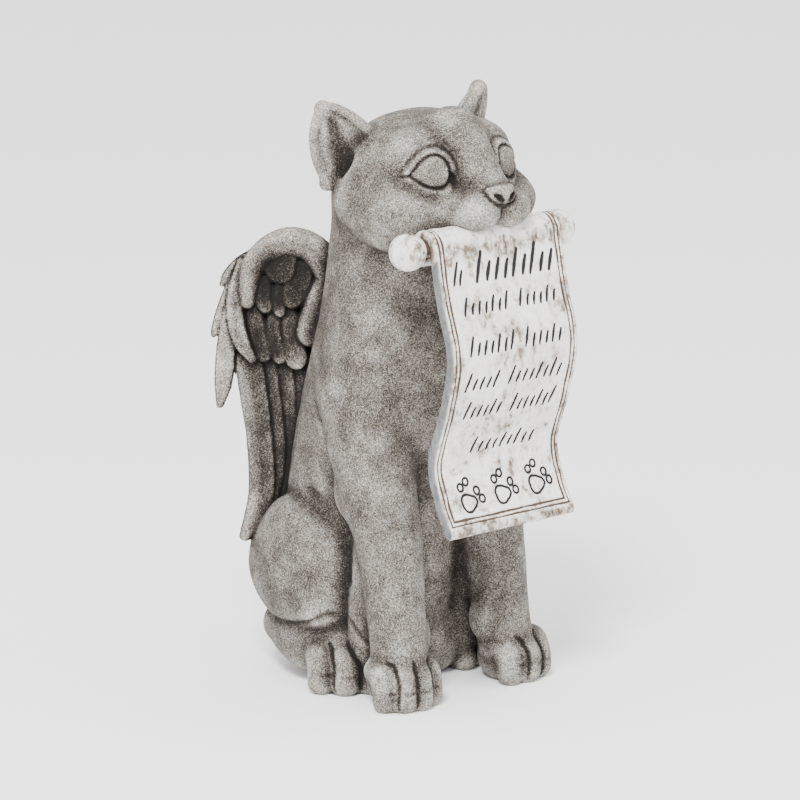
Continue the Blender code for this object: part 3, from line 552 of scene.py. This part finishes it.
def skin(clay, name, crease_reach, hollow_reach):
    """The clay's closed outer surface as a mesh in metres.

    It keeps a hair inside the box of the solids, stands flat on the ground, and notes at each point
    how deep in a crease and in a hollow it lies, and its painted shade.
    """
    grid = openvdb.FloatGrid(OUTSIDE)
    grid.copyFromArray(clay.field)
    points, quads = grid.convertToQuads(0.0)
    used, corners = np.unique(outer_shell(quads[:, ::-1]), return_inverse=True)
    low = np.array([axis[0] for axis in clay.axes])
    mesh = bpy.data.meshes.new(name)
    mesh.from_pydata((points[used] * clay.step + low) * MM, [], corners.reshape(-1, 4))
    piece = bpy.data.objects.new(name, mesh)
    bpy.context.scene.collection.objects.link(piece)
    thin = piece.modifiers.new("thin", "DECIMATE")
    thin.ratio = min(1, MOST_TRIANGLES / (2 * len(piece.data.polygons)))
    thin.use_collapse_triangulate = True
    thinned = bpy.data.meshes.new_from_object(piece.evaluated_get(bpy.context.evaluated_depsgraph_get()))
    piece.modifiers.clear()
    piece.data = thinned
    piece.data.name = name
    thinned.shade_smooth()
    spots = np.clip(points_of(thinned), np.array(cad_low) + HAIR, np.array(cad_high) - HAIR)
    spots[:, 2] = np.where(spots[:, 2] < 5 * HAIR, HAIR / 10, spots[:, 2])
    thinned.vertices.foreach_set("co", spots.ravel().astype(np.float32))
    full = np.clip(0.5 - clay.field / clay.step, 0, 1).astype(np.float32)
    for depth, reach in (("crease", crease_reach), ("hollow", hollow_reach)):
        volume = blurred(full, max(1, round(reach / clay.step)))
        keep(thinned, depth, Clay(clay.axes, volume, volume).at(spots / MM))
    # The painted shade of the carved lines, for the paint to read
    keep(thinned, "painted_shade", Clay(clay.axes, clay.painted_shade, clay.painted_shade).at(spots / MM))
    return piece


figure.roughen(9.0, 0.25, 3)
figure.roughen(3.4, 0.12, 4)
parts, (x, y, z) = figure.window((-SCROLL_WIDTH / 2 - 1, -106, 240), (SCROLL_WIDTH / 2 + 1, -50, 300))
reach = ROD_RADIUS + SCROLL_THICKNESS + 0.4
groove = np.sqrt((y - MOUTH[0]) ** 2 + (z - MOUTH[1]) ** 2) - reach
groove = np.maximum(groove, np.abs(x) - SCROLL_WIDTH / 2 - 0.5)
figure.blend_in(parts, groove.astype(np.float32), 0, carve=True)
figure.field = np.maximum(figure.field, -figure.axes[2][None, None, :])
cat = skin(figure, "cat_casting", 1.8, 7.0)
del figure


# Stone finish: grey resin with fine grit in it, with painted shade of dark brown in its creases and hollows,
# and rubbed pale on everything that stands out, partly wear and partly a painted highlight. The whole casting
# is painted alike.
def texture(nodes, links, kind, place, **settings):
    """A texture node that reads the given coordinates."""
    node = nodes.new(kind)
    links.new(place, node.inputs["Vector"])
    for name, value in settings.items():
        if name in node.inputs:
            node.inputs[name].default_value = value
        else:
            setattr(node, name, value)
    return node


def weigh(nodes, links, terms, base):
    """base plus each output times its weight, as one output."""
    total = None
    for output, weight in terms:
        step = nodes.new("ShaderNodeMath")
        step.operation = "MULTIPLY_ADD"
        links.new(output, step.inputs[0])
        step.inputs[1].default_value = weight
        if total is None:
            step.inputs[2].default_value = base
        else:
            links.new(total, step.inputs[2])
        total = step.outputs[0]
    return total


def shades(nodes, links, value, stops):
    """Colours by value."""
    ramp = nodes.new("ShaderNodeValToRGB")
    links.new(value, ramp.inputs["Fac"])
    while len(ramp.color_ramp.elements) < len(stops):
        ramp.color_ramp.elements.new(0.5)
    for element, (place, colour) in zip(ramp.color_ramp.elements, stops):
        element.position = place
        element.color = (*colour, 1)
    return ramp.outputs["Color"]


def reading(nodes, name):
    """The value that the mesh notes at each of its points."""
    node = nodes.new("ShaderNodeAttribute")
    node.attribute_name = name
    return node.outputs["Fac"]


def new_finish(name, roughness, gloss=0.5):
    """A new material, with its nodes, links and shader."""
    finish = bpy.data.materials.new(name)
    finish.use_nodes = True
    shader = finish.node_tree.nodes["Principled BSDF"]
    shader.inputs["Roughness"].default_value = roughness
    shader.inputs["Specular IOR Level"].default_value = gloss
    return finish, finish.node_tree.nodes, finish.node_tree.links, shader


def raised(nodes, links, shader, height, strength, distance):
    """Fine grain in the surface, too small for the mesh."""
    bump = nodes.new("ShaderNodeBump")
    bump.inputs["Strength"].default_value = strength
    bump.inputs["Distance"].default_value = distance
    links.new(height, bump.inputs["Height"])
    links.new(bump.outputs["Normal"], shader.inputs["Normal"])


stone, nodes, links, shader = new_finish("rubbed_grey_stone", 0.8, 0.15)
place = nodes.new("ShaderNodeTexCoord").outputs["Object"]
grit = texture(nodes, links, "ShaderNodeTexNoise", place, Scale=2300.0, Detail=2.0, Roughness=0.7)
fleck = texture(nodes, links, "ShaderNodeTexNoise", place, Scale=850.0, Detail=3.0, Roughness=0.7)
cloud = texture(nodes, links, "ShaderNodeTexNoise", place, Scale=60.0, Detail=6.0, Roughness=0.66)
# Lighter where the surface stands out, partly wear and partly a painted highlight, and darker in creases and
# hollows as painted shade
wear_and_painted_shade = nodes.new("ShaderNodeClamp")
links.new(weigh(nodes, links, ((reading(nodes, "crease"), -0.8), (reading(nodes, "hollow"), -1.5)), 1.15),
          wear_and_painted_shade.inputs["Value"])
wear_and_painted_shade.inputs["Min"].default_value = -0.6
wear_and_painted_shade.inputs["Max"].default_value = 0.24
# The carved lines' painted shade darkens the tone further
tone = weigh(nodes, links, ((wear_and_painted_shade.outputs["Result"], 1.0), (reading(nodes, "painted_shade"), -0.75),
                            (grit.outputs["Fac"], 2.1), (fleck.outputs["Fac"], 1.0),
                            (cloud.outputs["Fac"], 0.8)), -1.58)
colour = shades(nodes, links, tone, (
    (0.0, (0.006, 0.005, 0.004)), (0.26, (0.036, 0.029, 0.024)), (0.48, (0.120, 0.105, 0.090)),
    (0.68, (0.245, 0.226, 0.200)), (0.95, (0.56, 0.535, 0.49))))
links.new(colour, shader.inputs["Base Color"])
height = weigh(nodes, links, ((grit.outputs["Fac"], 0.5), (fleck.outputs["Fac"], 0.6)), 0.0)
raised(nodes, links, shader, height, 0.4, 0.0005)
cat.data.materials.append(stone)
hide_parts("cat")
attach(cat, "root")


# Scroll: a hanging sheet that rolls over a rod at its top, with worn edges and a slow wave down its length.
# It is cast as one piece with its rod and the ball on each end, and sits in the cat's mouth.
SHEET_SWING = ((0, 0), (0.18, 6), (0.37, 14.5), (0.56, 9), (0.76, -1), (0.9, 5), (1, 13.5))
SCROLL_STEP = 0.5
ROLL_RADIUS = ROD_RADIUS + SCROLL_THICKNESS / 2
ROLL_ANGLES = np.radians(np.arange(-70, 181, 8))

# The sheet's middle line seen from the side, and how far down from the end of the roll each of its points is
profile = [(MOUTH[0] + ROLL_RADIUS * math.cos(angle), MOUTH[1] + ROLL_RADIUS * math.sin(angle))
           for angle in ROLL_ANGLES]
for share, swing in smooth_path(SHEET_SWING, 8)[1:]:
    profile.append((MOUTH[0] - ROLL_RADIUS - swing, MOUTH[1] - SCROLL_LENGTH * share))
profile = np.array(profile)
down = np.concatenate([[0], np.cumsum(np.hypot(*np.diff(profile, axis=0).T))])
down -= down[len(ROLL_ANGLES) - 1]
sheet_foot = down[-1]

# Each place's distance from that line, which side of it the place is on, and how far down it lies
plaque = Clay([np.arange(a, b + SCROLL_STEP, SCROLL_STEP, dtype=np.float32)
               for a, b in ((-74, 70), (-108, -58), (100, 286))])
yy, zz = np.meshgrid(plaque.axes[1], plaque.axes[2], indexing="ij")
off = np.full(yy.shape, OUTSIDE)
out, fall = np.zeros(yy.shape), np.zeros(yy.shape)
for i, (a, b) in enumerate(zip(profile, profile[1:])):
    run = b - a
    t = np.clip(((yy - a[0]) * run[0] + (zz - a[1]) * run[1]) / (run @ run), 0, 1)
    dy, dz = yy - a[0] - t * run[0], zz - a[1] - t * run[1]
    gap = np.hypot(dy, dz)
    closer = gap < off
    off[closer] = gap[closer]
    out[closer] = ((dy * run[1] - dz * run[0]) / np.hypot(*run))[closer]
    fall[closer] = (down[i] + t * (down[i + 1] - down[i]))[closer]


# Carving on the scroll: two worn border lines, rows of slanted strokes and three paw prints, all cut
# shallowly. The strokes and prints are filled with dark paint, the border lines with brown.
RASTER = 0.25
u_line = np.arange(-SCROLL_WIDTH / 2, SCROLL_WIDTH / 2 + RASTER, RASTER)
v_line = np.arange(-24, sheet_foot + 6, RASTER)
uu, vv = np.meshgrid(u_line, v_line, indexing="ij")
ink = np.zeros(uu.shape, np.float32)
brown = np.zeros(uu.shape, np.float32)
rng = np.random.default_rng(11)


def cut(raster, stations, steps=6):
    """A channel along a path of across, down and half width, cut into a raster of depths."""
    path = smooth_path(stations, steps)
    spare = path[:, 2].max() + 1
    for a, b in zip(path, path[1:]):
        low, high = np.minimum(a, b)[:2] - spare, np.maximum(a, b)[:2] + spare
        i, j = np.searchsorted(u_line, (low[0], high[0])), np.searchsorted(v_line, (low[1], high[1]))
        block = (slice(*i), slice(*j))
        run = b[:2] - a[:2]
        t = np.clip(((uu[block] - a[0]) * run[0] + (vv[block] - a[1]) * run[1]) / max(run @ run, 1e-9), 0, 1)
        away = np.hypot(uu[block] - a[0] - t * run[0], vv[block] - a[1] - t * run[1])
        half_width = a[2] + t * (b[2] - a[2])
        raster[block] = np.maximum(raster[block], np.clip(1.4 - away / half_width * 1.1, 0, 1))


for inset, width in ((5.8, 0.8), (3.2, 0.6)):
    side, foot = SCROLL_WIDTH / 2 - inset, sheet_foot - inset
    for sign in (-1, 1):
        cut(brown, [(sign * (side + rng.normal(0, 0.12)), v, width * rng.uniform(0.5, 1.2))
                    for v in np.arange(-16, foot, 7)] + [(sign * side, foot, width)])
    cut(brown, [(u, foot + rng.normal(0, 0.12), width * rng.uniform(0.5, 1.2))
                for u in np.linspace(-side, side, 12)])

# Each row: how far down its foot is, its height, its left and right ends, and the strokes in each group
STROKE_ROWS = ((20.5, 12, -37, -30, (2,)), (20.5, 16, -21, 40, (9,)), (38.5, 9.5, -34, 38, (7, 6)),
               (60.5, 9.5, -35, 37, (7, 6)), (80.0, 9.5, -37, 38, (5, 8)), (97.5, 9.5, -34, 36, (6, 7)),
               (121.0, 9.0, -22, 28, (9,)))
STROKE_HEIGHTS = (1.0, 0.6, 0.66, 0.58, 0.9, 0.62)
TALLEST_STROKE = 1.8
OTHER_STROKE = 1.25
GROUP_GAP = 1.2
for foot, height, left, right, groups in STROKE_ROWS:
    pitch = (right - left) / (sum(groups) + GROUP_GAP * (len(groups) - 1))
    u = left + pitch / 2
    bold = TALLEST_STROKE if height > 14 else OTHER_STROKE
    for count in groups:
        for k in range(count):
            tall = height * STROKE_HEIGHTS[k % len(STROKE_HEIGHTS)]
            lean = 0.34 * tall
            cut(ink, [(u - lean / 2, foot + rng.normal(0, 0.2), bold * 0.6),
                      (u - 0.3, foot - tall * 0.45, bold * 0.85),
                      (u + lean / 2, foot - tall, bold * 0.65)])
            u += pitch
        u += GROUP_GAP * pitch

# Each print is a rounded triangle with four small rings round it
PRINTS = ((-27.0, 151.5), (-1.0, 150.5), (25.5, 149.0))
PAD_RADIUS = 5.6
PRINT_TOES = ((-3.8, -9.5), (0.8, -12.4), (7.5, -6.2), (10.2, -1.1))
for pad_u, pad_v in PRINTS:
    ring = []
    for angle in np.radians(np.arange(0, 361, 30)):
        reach = PAD_RADIUS * (1 + 0.13 * math.cos(3 * angle + 0.4))
        ring.append((pad_u + reach * math.cos(angle), pad_v + 0.92 * reach * math.sin(angle), 0.85))
    cut(ink, ring)
    for toe_u, toe_v in PRINT_TOES:
        cut(ink, [(pad_u + toe_u + 2.0 * math.cos(angle), pad_v + toe_v + 2.3 * math.sin(angle), 0.8)
                  for angle in np.radians(np.arange(0, 361, 45))])

# The sheet with its rounded edges, then the carving, which goes into its front only
EDGE_RADIUS = 1.6
INK_DEPTH = 0.7
BORDER_DEPTH = 0.6
side_gap = np.abs(plaque.axes[0][:, None, None]) - SCROLL_WIDTH / 2
face_gap = (off - SCROLL_THICKNESS / 2)[None]
a, b = side_gap + EDGE_RADIUS, face_gap + EDGE_RADIUS
sheet = np.minimum(np.maximum(a, b), 0) + np.hypot(np.maximum(a, 0), np.maximum(b, 0)) - EDGE_RADIUS


def nearest(line, places):
    """The raster's row or column that is nearest each place."""
    return np.clip(np.round((places - line[0]) / RASTER).astype(int), 0, len(line) - 1)


i, j = nearest(u_line, plaque.axes[0])[:, None, None], nearest(v_line, fall)[None]
depth = INK_DEPTH * ink[i, j] + BORDER_DEPTH * brown[i, j]
surface = out[None] - SCROLL_THICKNESS / 2 + depth
sheet = np.where(out[None] > 0, np.maximum(sheet, surface), sheet)
plaque.field = sheet.astype(np.float32)


# Rod and knobs: a thin rod through the roll with a ball on each end, cast with the sheet.
# The rod sits a little towards the cat's right side.
ROD_SHIFT = -2.5
KNOB_RADIUS = 10.5
KNOB_REACH = SCROLL_WIDTH / 2 + 8.6
for sign in (-1, 1):
    end = ROD_SHIFT + sign * KNOB_REACH
    plaque.limb([(sign * 30, *MOUTH, ROD_RADIUS), (end, *MOUTH, ROD_RADIUS)], blend=1)
    plaque.ball((end, *MOUTH), (KNOB_RADIUS,) * 3, blend=2.5)
plaque.roughen(6.0, 0.2, 5)
plaque.roughen(2.2, 0.08, 6)
scroll = skin(plaque, "scroll_casting", 1.5, 6.0)


# Scroll paint: aged off-white, streaked and stained brown towards the borders and the mouth, with painted
# shade in its creases and hollows, bluish grey on its thick worn edge, with near-black paint in the strokes.
# Each point notes where on the sheet it lies.
spots = points_of(scroll.data) / MM
spot_fall = Clay(plaque.axes, np.broadcast_to(fall[None], plaque.field.shape), plaque.painted_shade).at(spots)
spot_out = Clay(plaque.axes, np.broadcast_to(out[None], plaque.field.shape), plaque.painted_shade).at(spots)
i, j = nearest(u_line, spots[:, 0]), nearest(v_line, spot_fall)
from_side = SCROLL_WIDTH / 2 - np.abs(spots[:, 0])
on_face = (spot_out > 1) & (from_side > 0)
off_the_roll = np.hypot(spots[:, 1] - MOUTH[0], spots[:, 2] - MOUTH[1]) > ROLL_RADIUS + 4.5
keep(scroll.data, "ink", ink[i, j] * on_face)
keep(scroll.data, "brown", brown[i, j] * on_face)
keep(scroll.data, "edge", np.clip((1.8 - from_side) / 1.4, 0, 1) * off_the_roll)
border = np.minimum.reduce([from_side, sheet_foot - spot_fall, np.abs(spot_fall - 2) * 0.8])
border = np.clip(1 - border / 7, 0, 1)
keep(scroll.data, "border", np.where(from_side < -0.5, 0.4, border))
del plaque

paint, nodes, links, shader = new_finish("aged_off_white", 0.62, 0.2)
place = nodes.new("ShaderNodeTexCoord").outputs["Object"]
grain = texture(nodes, links, "ShaderNodeTexNoise", place, Scale=420.0, Detail=3.0, Roughness=0.6)
streak_place = nodes.new("ShaderNodeMapping")
streak_place.inputs["Scale"].default_value = (0.6, 1, 0.3)
links.new(place, streak_place.inputs["Vector"])
streak = texture(nodes, links, "ShaderNodeTexNoise", streak_place.outputs["Vector"], Scale=300.0, Detail=6.0,
                 Roughness=0.7)
cloud = texture(nodes, links, "ShaderNodeTexNoise", place, Scale=45.0, Detail=4.0, Roughness=0.6)
# Darker in creases and hollows: painted shade
tone = weigh(nodes, links, ((streak.outputs["Fac"], 2.2), (cloud.outputs["Fac"], 1.4),
                            (grain.outputs["Fac"], 0.5),
                            (reading(nodes, "crease"), -1.0), (reading(nodes, "hollow"), -0.5),
                            (reading(nodes, "brown"), -0.25), (reading(nodes, "border"), -0.42)), -0.62)
colour = shades(nodes, links, tone, (
    (0.05, (0.065, 0.042, 0.028)), (0.28, (0.20, 0.16, 0.125)), (0.42, (0.40, 0.375, 0.33)),
    (0.58, (0.60, 0.59, 0.55)), (0.95, (0.78, 0.775, 0.745))))


def over(nodes, links, amount, below, colour):
    """Paint laid over what is below it, by amount."""
    mix = nodes.new("ShaderNodeMix")
    mix.data_type = "RGBA"
    links.new(amount, mix.inputs["Factor"])
    links.new(below, mix.inputs[6])
    mix.inputs[7].default_value = (*colour, 1)
    return mix.outputs[2]


edge_paint = weigh(nodes, links, ((reading(nodes, "edge"), 1.1), (streak.outputs["Fac"], 1.2)), -0.85)
colour = over(nodes, links, edge_paint, colour, (0.085, 0.09, 0.10))
brown_paint = weigh(nodes, links, ((reading(nodes, "brown"), 1.7), (streak.outputs["Fac"], 0.5)), -0.26)
colour = over(nodes, links, brown_paint, colour, (0.055, 0.036, 0.025))
ink_paint = weigh(nodes, links, ((reading(nodes, "ink"), 2.4),), -0.35)
colour = over(nodes, links, ink_paint, colour, (0.008, 0.008, 0.009))
links.new(colour, shader.inputs["Base Color"])
height = weigh(nodes, links, ((grain.outputs["Fac"], 0.4), (streak.outputs["Fac"], 0.6)), 0.0)
raised(nodes, links, shader, height, 0.35, 0.0004)
scroll.data.materials.append(paint)
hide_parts("scroll")
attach(scroll, "root")


# Studio: a pale floor, soft light from the left front, and the photograph's view.
bpy.ops.mesh.primitive_plane_add(size=12)
floor = bpy.context.object
floor.name = "floor"
floor_finish, nodes, links, shader = new_finish("pale_floor", 0.9)
shader.inputs["Base Color"].default_value = (0.95, 0.95, 0.95, 1)
floor.data.materials.append(floor_finish)
floor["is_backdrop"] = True

world = bpy.data.worlds.new("studio")
bpy.context.scene.world = world
world.use_nodes = True
world.node_tree.nodes["Background"].inputs["Color"].default_value = (1, 1, 1, 1)
world.node_tree.nodes["Background"].inputs["Strength"].default_value = 2.1
for name, spot, size, power in (("key", (-1.3, -1.0, 1.9), 0.6, 100), ("fill", (1.4, -1.3, 0.7), 1.2, 8)):
    light = bpy.data.objects.new(name, bpy.data.lights.new(name, "AREA"))
    light.data.energy = power
    light.data.size = size
    light.location = spot
    light.rotation_euler = (Vector((0, 0, 0.17)) - Vector(spot)).to_track_quat("-Z", "Y").to_euler()
    bpy.context.scene.collection.objects.link(light)

# The photograph's view, in pixels of its width: the lens, where the statue's base stands to the right of the
# middle and above it, and the length of a pixel at the statue
PICTURE_WIDTH = 800
FOCAL = 4200.0
BASE_RIGHT, BASE_UP = -2, -272.5
PIXEL = 0.587 * MM
azimuth, pitch = math.radians(41.5), math.radians(12.9)
right = Vector((math.cos(azimuth), -math.sin(azimuth), 0))
ahead = Vector((math.sin(azimuth) * math.cos(pitch), math.cos(azimuth) * math.cos(pitch), -math.sin(pitch)))
above = right.cross(ahead)
eye_point = -(ahead + right * BASE_RIGHT / FOCAL + above * BASE_UP / FOCAL) * FOCAL * PIXEL
camera = bpy.data.objects.new("camera", bpy.data.cameras.new("camera"))
camera.data.sensor_width = 36
camera.data.lens = FOCAL * camera.data.sensor_width / PICTURE_WIDTH
camera.matrix_world = Matrix.Translation(eye_point) @ Matrix((right, above, -ahead)).transposed().to_4x4()
bpy.context.scene.collection.objects.link(camera)
bpy.context.scene.camera = camera

low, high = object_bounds()
